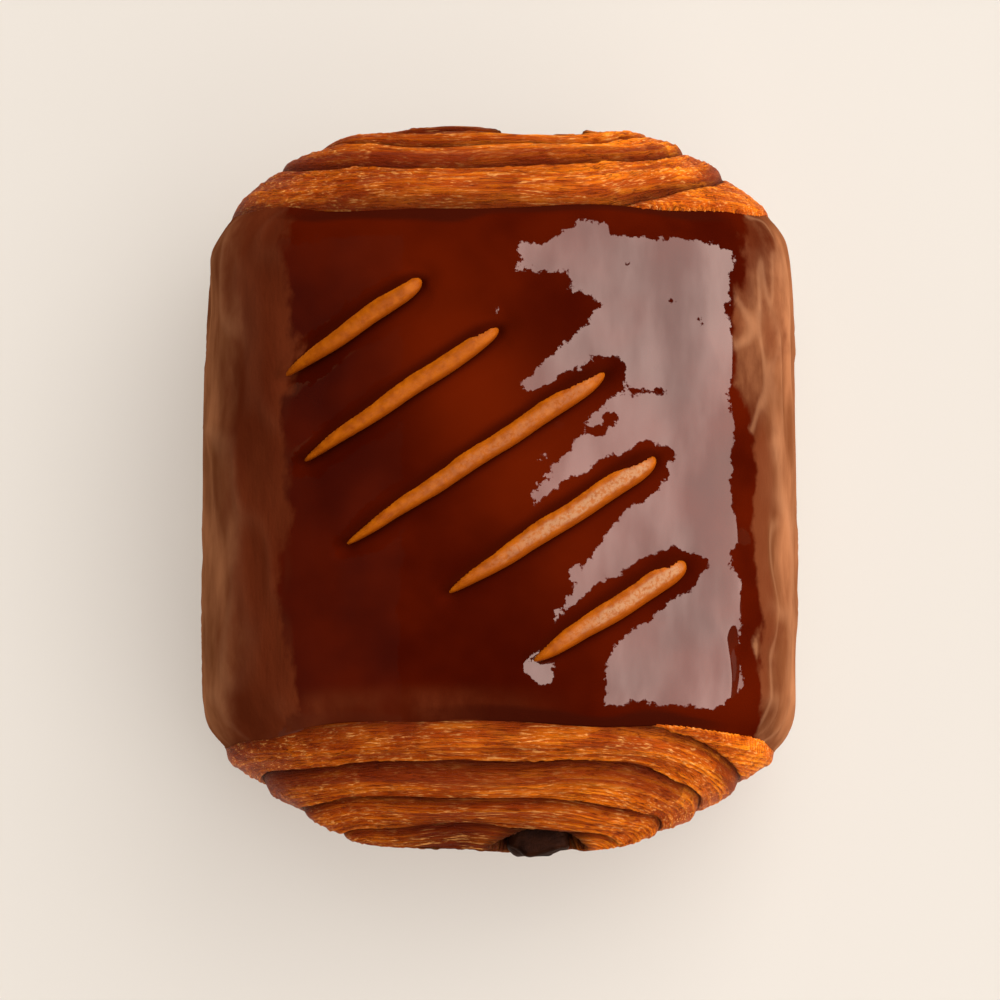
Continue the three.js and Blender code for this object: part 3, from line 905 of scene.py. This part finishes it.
def makeEnd(name, material):
    end = ends[name]
    angle = anglesRound(endValues["topSpacing"], endValues["baseSpacing"])
    riser = lip["rise"] * np.linspace(0, 1, endValues["riserRows"] + 1)[:-1] ** 1.6
    flat = lip["rise"] + (1 - lip["rise"]) * np.linspace(0, 1, endValues["lipRows"] + 1)[:-1]
    stations = np.concatenate([riser, flat])
    wraps = roll["wraps"] + 1
    spiral = np.concatenate([wrap + stations for wrap in range(wraps)] + [[float(wraps)]])
    around, wound = np.meshgrid(angle, spiral)
    x, y, z, ratio, wrap, across, crease, tail = endSurface(name, around, wound)

    # The running length along the spiral, which shrinks wrap by wrap, and the depth in the wrap.
    turn = (around + np.pi / 2) / (2 * np.pi) - wrap
    length = endValues["wrapLength"] * turn * (1 + endValues["wrapShrink"] * turn)
    surface = np.stack([x, y, z], axis=2)
    walked = np.linalg.norm(np.diff(surface, axis=0, prepend=surface[:1]), axis=2).cumsum(axis=0)
    wrapStart = np.arange(len(spiral)) // len(stations) * len(stations)
    depth = walked - walked[wrapStart]
    # Leaves overlap like shingles: each one rises over its thickness and then drops, more in some
    # stretches than in others, and chips of leaf stand up here and there.
    bend = 2.2 * noise(length / 24 + 90, depth / 5 + 90, 11)
    bend = bend + 0.5 * noise(length / 7 + 90, depth / 3 + 90, 15)
    leafPlace = (depth + bend) / endValues["leafThickness"] + 50
    leafRise = leafPlace % 1
    shingle = leafRise * smooth(1, 0.86, leafRise)
    loose = smooth(0.25, 0.7, noise(length / 6 + 90, np.floor(leafPlace) * 1.7, 12))
    thin = noise(length / 4 + 90, (depth + bend) / 0.45 + 90, 13)
    flake = noise(length / 1.1 + 90, (depth + bend) / 0.5 + 90, 14)
    chip = smooth(0.68, 0.82, flake)
    onLip = smooth(0.0, 0.22, across) * smooth(0.998, 0.97, ratio)
    relief = endValues["leafDepth"] * shingle * (0.25 + loose) + 0.15 * (thin - 0.5)
    relief = onLip * (relief + endValues["chipDepth"] * chip * loose)
    relief = relief * (1 - 0.5 * smooth(0.6, 1, np.abs(np.cos(around))))

    # The hollow round the bar is an ellipsoid scooped out of the end.
    tip = loaf["halfLength"] + end["reach"]
    inHollow = ((x - bar["x"]) / mouth["halfWidth"]) ** 2
    inHollow = inHollow + ((z - bar["z"] - mouth["lift"]) / mouth["halfHeight"]) ** 2
    hollow = tip - mouth["depth"] * np.sqrt(np.maximum(0, 1 - inHollow))
    scooped = np.where(inHollow < 1, np.minimum(y, hollow), y)
    stain = smooth(1.6, 0.7, inHollow) * smooth(0.5, 0.2, ratio)
    points = np.stack([x, end["side"] * scooped, z], axis=2)
    points = points + gridNormals(points, end["side"]) * relief[:, :, None]

    # The outer ring goes in under the crust, and the rest is closed at the seam.
    ring = ratio > 0.9995
    middle = loaf["widestHeight"]
    points[ring, 0] *= endValues["tuckAcross"]
    points[ring, 2] = middle + (points[ring, 2] - middle) * endValues["tuckHeight"]
    points[ring, 1] = end["side"] * (edgeOf(around[ring], 1) - endValues["tuckDepth"])
    points[:, :, 2] = np.maximum(points[:, :, 2], 0)
    perWrap = len(stations)
    points[perWrap:, -1] = points[:-perWrap, 0]
    points[:perWrap, -1] = points[0, 0]
    # Where a wrap's own skin shows, made wider and full strength in the main groove as painted shade.
    mainGroove = np.where((wrap == 1) & (tail < 0.5) | (wrap == 2) & (tail >= 0.5), 1.0, 0.35)
    skinAndShadeWidth = 0.2 + 0.13 * (mainGroove > 0.5)
    skinAndShade = smooth(skinAndShadeWidth, skinAndShadeWidth - 0.14, across) * smooth(0.97, 0.93, ratio) * mainGroove
    toast = np.exp(-(((x + 7) / 10) ** 2)) * smooth(0.45, 0.2, ratio)
    marks = {
        "skinAndShade": skinAndShade,
        "crease": np.clip(crease, 0, 1) * 0.8,
        "stain": stain,
        "toast": toast,
        "leaf": shingle * (0.3 + 0.7 * loose),
        "chip": chip * loose,
    }
    uv = np.stack([length / 100, depth / 100], axis=2)
    buildPiece(f"{name}_end", points, end["side"], uv, marks, material)


# The dough in the cuts, one rounded ridge in each.
ridgeValues = {"spacing": 0.2, "sides": 44, "top": 0.85, "bottom": -2.2, "lean": 0.25, "lump": 0.1,
               "rough": 0.09}


def makeRidges(material):
    # Each ridge is a tube round a cut's line: its width follows the cut, its height is an ellipse
    # between the ridge's top and bottom, and it rides on the crown.
    for number, cut in enumerate(cuts):
        half = cut["length"] / 2
        count = int(cut["length"] / ridgeValues["spacing"])
        share = -np.cos(np.linspace(0, np.pi, count))[:, None]
        turn = np.linspace(0, 2 * np.pi, ridgeValues["sides"] + 1)[None, :]
        width = cutHalfWidth(share, cut["width"])
        drop = np.sqrt(np.maximum(0, 1 - np.abs(share) ** 6))
        lump = ridgeValues["lump"] * wave(share * half / 2.4 + 50, turn * 0 + number * 9 + 3, 21)
        along = share * (1 - 0.045 * smooth(0, 1, share)) * half + 0 * turn
        across = (width + lump * 0.6 * drop ** 2) * np.cos(turn)
        across = across + 0.08 * np.sin(along * 0.5 + number) * drop
        middle = (ridgeValues["top"] + ridgeValues["bottom"]) / 2
        tall = (ridgeValues["top"] - ridgeValues["bottom"]) / 2
        rough = ridgeValues["rough"] * wave(along / 0.8 + 50, across / 0.6 + 50, 22 + number)
        leaning = ridgeValues["lean"] * np.cos(turn) * np.maximum(0, np.sin(turn))
        bulge = (tall + (lump + rough) * drop) * drop * np.sin(turn)
        height = middle - 0.4 * (1 - drop) + bulge + leaning * drop
        x = cut["x"] + along * np.cos(cutAngle) - across * np.sin(cutAngle)
        y = cut["y"] + along * np.sin(cutAngle) + across * np.cos(cutAngle)
        points = np.stack([x, y, crownHeight(x) + height + crownSwell(x, y)], axis=2)
        points[:, -1] = points[:, 0]
        uv = np.stack([along / 100 + number, across / 100], axis=2)
        # Along each ridge's top, where it faces the window, a painted highlight, strongest on the cuts in
        # the window's reflection.
        ragged = 0.1 * wave(along / 0.9 + 70, across / 0.5 + 70, 27)
        facing = smooth(0.86, 0.985, np.sin(turn - 0.2) + ragged)
        paintedHighlight = cut["paintedHighlight"] * facing * smooth(-0.9, 0.1, share) * smooth(1, 0.85, share)
        marks = {"edge": np.abs(np.cos(turn)) + 0 * share, "paintedHighlight": paintedHighlight}
        buildPiece(f"cut_dough_{number + 1}", points, -1, uv, marks, material)


# The bar of chocolate, with its ends rounded and rough.
barValues = {"sides": 96, "corner": 5, "closing": 1.2}


def makeBar(material):
    # A tube along Y whose section is a squared ellipse, closing over the last 1.2 mm at both ends.
    tipBack = loaf["halfLength"] + ends["back"]["reach"] - bar["backShort"]
    place = [np.linspace(0, 0.03, 26), np.linspace(0.03, 0.97, 98)[1:-1], np.linspace(0.97, 1, 26)]
    place = np.concatenate(place)
    length = frontTip + tipBack
    along = (place * length)[:, None]
    turn = np.linspace(0, 2 * np.pi, barValues["sides"] + 1)[None, :]
    toEnd = np.minimum(along, length - along)
    close = np.sqrt(np.clip(1 - (1 - np.clip(toEnd / barValues["closing"], 0, 1)) ** 3, 0, 1))
    power = 2 / barValues["corner"]
    x = bar["width"] / 2 * signedPower(np.cos(turn), power) * close
    z = bar["height"] / 2 * signedPower(np.sin(turn), power) * close
    rough = 0.35 * wave(x / 1.1 + 30 + along / 1.3, z / 1.1 + 30, 31) * smooth(8, 1, toEnd)
    broken = 0.16 * np.abs(x + 1.2) + 1.1 * wave(x / 1.6 + 30, z / 2 + 30, 32)
    worn = 0.6 * rough * np.where(along < 10, -1, 1) * close
    y = -frontTip + along + 0.3 + broken * smooth(6, 0, along) + worn + 0 * turn
    x = bar["x"] + x * (1 - 0.03 * np.abs(rough))
    z = bar["z"] + z * (1 - 0.1 * np.abs(rough))
    points = np.stack([x, y, z], axis=2)
    points[:, -1] = points[:, 0]
    uv = np.stack([along / 100 + 0 * turn, turn / 6.3 + 0 * along], axis=2)
    buildPiece("bar", points, 1, uv, {}, material, ["chocolate_bar"])


# Where things stand for the picture.
stageValues = {
    "floor": (0.3, 0.31, 0.31, 1),
    "floorGlow": (0.45, 0.407, 0.36, 1),
    "mirrored": (0.2, 0.085, 0.035, 1),
    "floorSize": 6.0,
    "backdrop": (0.88, 0.8, 0.71, 1),
    "ceiling": (0.04, 0.037, 0.034, 1),
    "walls": (0.26, 0.14, 0.075, 1),
}


def makeFloor():
    mesh = bpy.data.meshes.new("floor")
    half = stageValues["floorSize"] / 2
    corners = [(-half, -half, 0), (half, -half, 0), (half, half, 0), (-half, half, 0)]
    mesh.from_pydata(corners, [], [(0, 1, 2, 3)])
    material, tree, shader = newMaterial("paleFloor")
    glossy = addNode(tree, "ShaderNodeLightPath").outputs["Is Glossy Ray"]
    color = addMix(tree, glossy, stageValues["floor"], stageValues["mirrored"])
    inputs = {"Base Color": color, "Roughness": 0.9, "Specular IOR Level": 0}
    inputs.update({"Emission Color": stageValues["floorGlow"], "Emission Strength": 1})
    setInputs(tree, shader, inputs)
    mesh.materials.append(material)
    floor = bpy.data.objects.new("floor", mesh)
    bpy.context.scene.collection.objects.link(floor)


def makeWorld():
    # Dim overhead, brighter near the horizon, as in a room whose walls are lit.
    world = bpy.data.worlds.new("studio")
    bpy.context.scene.world = world
    world.use_nodes = True
    tree = world.node_tree
    tree.nodes.clear()
    direction = addNode(tree, "ShaderNodeTexCoord").outputs["Generated"]
    height = addNode(tree, "ShaderNodeSeparateXYZ", {0: direction}).outputs["Z"]
    wall = addRange(tree, height, 0.4, 0.5, 1.0, 0.0)
    light = addMix(tree, wall, stageValues["ceiling"], stageValues["walls"])
    lit = addNode(tree, "ShaderNodeBackground", {"Color": light, "Strength": 1.0})
    seen = addNode(tree, "ShaderNodeBackground", {"Color": stageValues["backdrop"], "Strength": 1.0})
    ray = addNode(tree, "ShaderNodeLightPath").outputs["Is Camera Ray"]
    mixed = addNode(tree, "ShaderNodeMixShader", {0: ray, 1: lit.outputs[0], 2: seen.outputs[0]})
    addNode(tree, "ShaderNodeOutputWorld", {"Surface": mixed.outputs[0]})


# The lights are flat panels: the direction they hang in, how far off, their size, their glow in
# watts for each square metre and steradian, and their colour.
lights = [
    {"name": "window", "tilt": 37, "turn": 0, "away": 0.62, "size": (1.24, 1.7),
     "glow": 8.0, "color": (1, 0.73, 0.645), "seenIn": "gloss"},
    {"name": "soft_light", "tilt": 34, "turn": 40, "away": 2.4, "size": (3.3, 3.3),
     "glow": 2.7, "color": (1, 0.9, 0.82), "seenIn": "colour"},
    {"name": "front_fill", "tilt": 62, "turn": -45, "away": 2.2, "size": (2.4, 2.2),
     "glow": 2.7, "color": (1, 0.88, 0.78), "seenIn": "colour"},
    {"name": "back_fill", "tilt": 62, "turn": 55, "away": 2.2, "size": (2.2, 2.2),
     "glow": 2.3, "color": (1, 0.88, 0.78), "seenIn": "colour"},
    {"name": "left_fill", "tilt": 76, "turn": 180, "away": 2.4, "size": (1.6, 2.6),
     "glow": 1.3, "color": (1, 0.88, 0.78), "seenIn": "colour"},
]


def makeLights():
    for values in lights:
        light = bpy.data.lights.new(values["name"], "AREA")
        light.shape = "RECTANGLE"
        light.size, light.size_y = values["size"]
        light.energy = values["glow"] * light.size * light.size_y * math.pi
        light.color = values["color"]
        lamp = bpy.data.objects.new(values["name"], light)
        tilt, turn = math.radians(values["tilt"]), math.radians(values["turn"])
        away = values["away"]
        lamp.location = (
            away * math.sin(tilt) * math.cos(turn),
            away * math.sin(tilt) * math.sin(turn),
            0.03 + away * math.cos(tilt),
        )
        lamp.rotation_euler = (0, tilt, turn)
        lamp.visible_camera = False
        lamp.visible_glossy = values["seenIn"] == "gloss"
        lamp.visible_diffuse = values["seenIn"] == "colour"
        bpy.context.scene.collection.objects.link(lamp)


# The camera looks almost straight down through a long lens, from a few degrees towards the front.
cameraValues = {"lens": 186.2, "sensor": 36, "tilt": 7, "away": 0.75, "target": [0, -2.6, 24]}


def makeCamera():
    data = bpy.data.cameras.new("camera")
    data.lens, data.sensor_width = cameraValues["lens"], cameraValues["sensor"]
    data.clip_start, data.clip_end = 0.01, 20
    camera = bpy.data.objects.new("camera", data)
    tilt, away = math.radians(cameraValues["tilt"]), cameraValues["away"]
    target = (np.array(cameraValues["target"]) + shift) / 1000
    camera.location = target + np.array([0, -math.sin(tilt), math.cos(tilt)]) * away
    camera.rotation_euler = (tilt, 0, 0)
    bpy.context.scene.collection.objects.link(camera)
    bpy.context.scene.camera = camera


print("materials")
crustStuff, doughStuff = crustMaterial(), doughMaterial()
cutStuff, chocolateStuff = cutMaterial(), chocolateMaterial()
print("pieces")
makeCrust(crustStuff)
makeEnd("front", doughStuff)
makeEnd("back", doughStuff)
makeRidges(cutStuff)
makeBar(chocolateStuff)
print("stage")
makeFloor()
makeWorld()
makeLights()
makeCamera()
bpy.context.scene.view_settings.view_transform = "Standard"
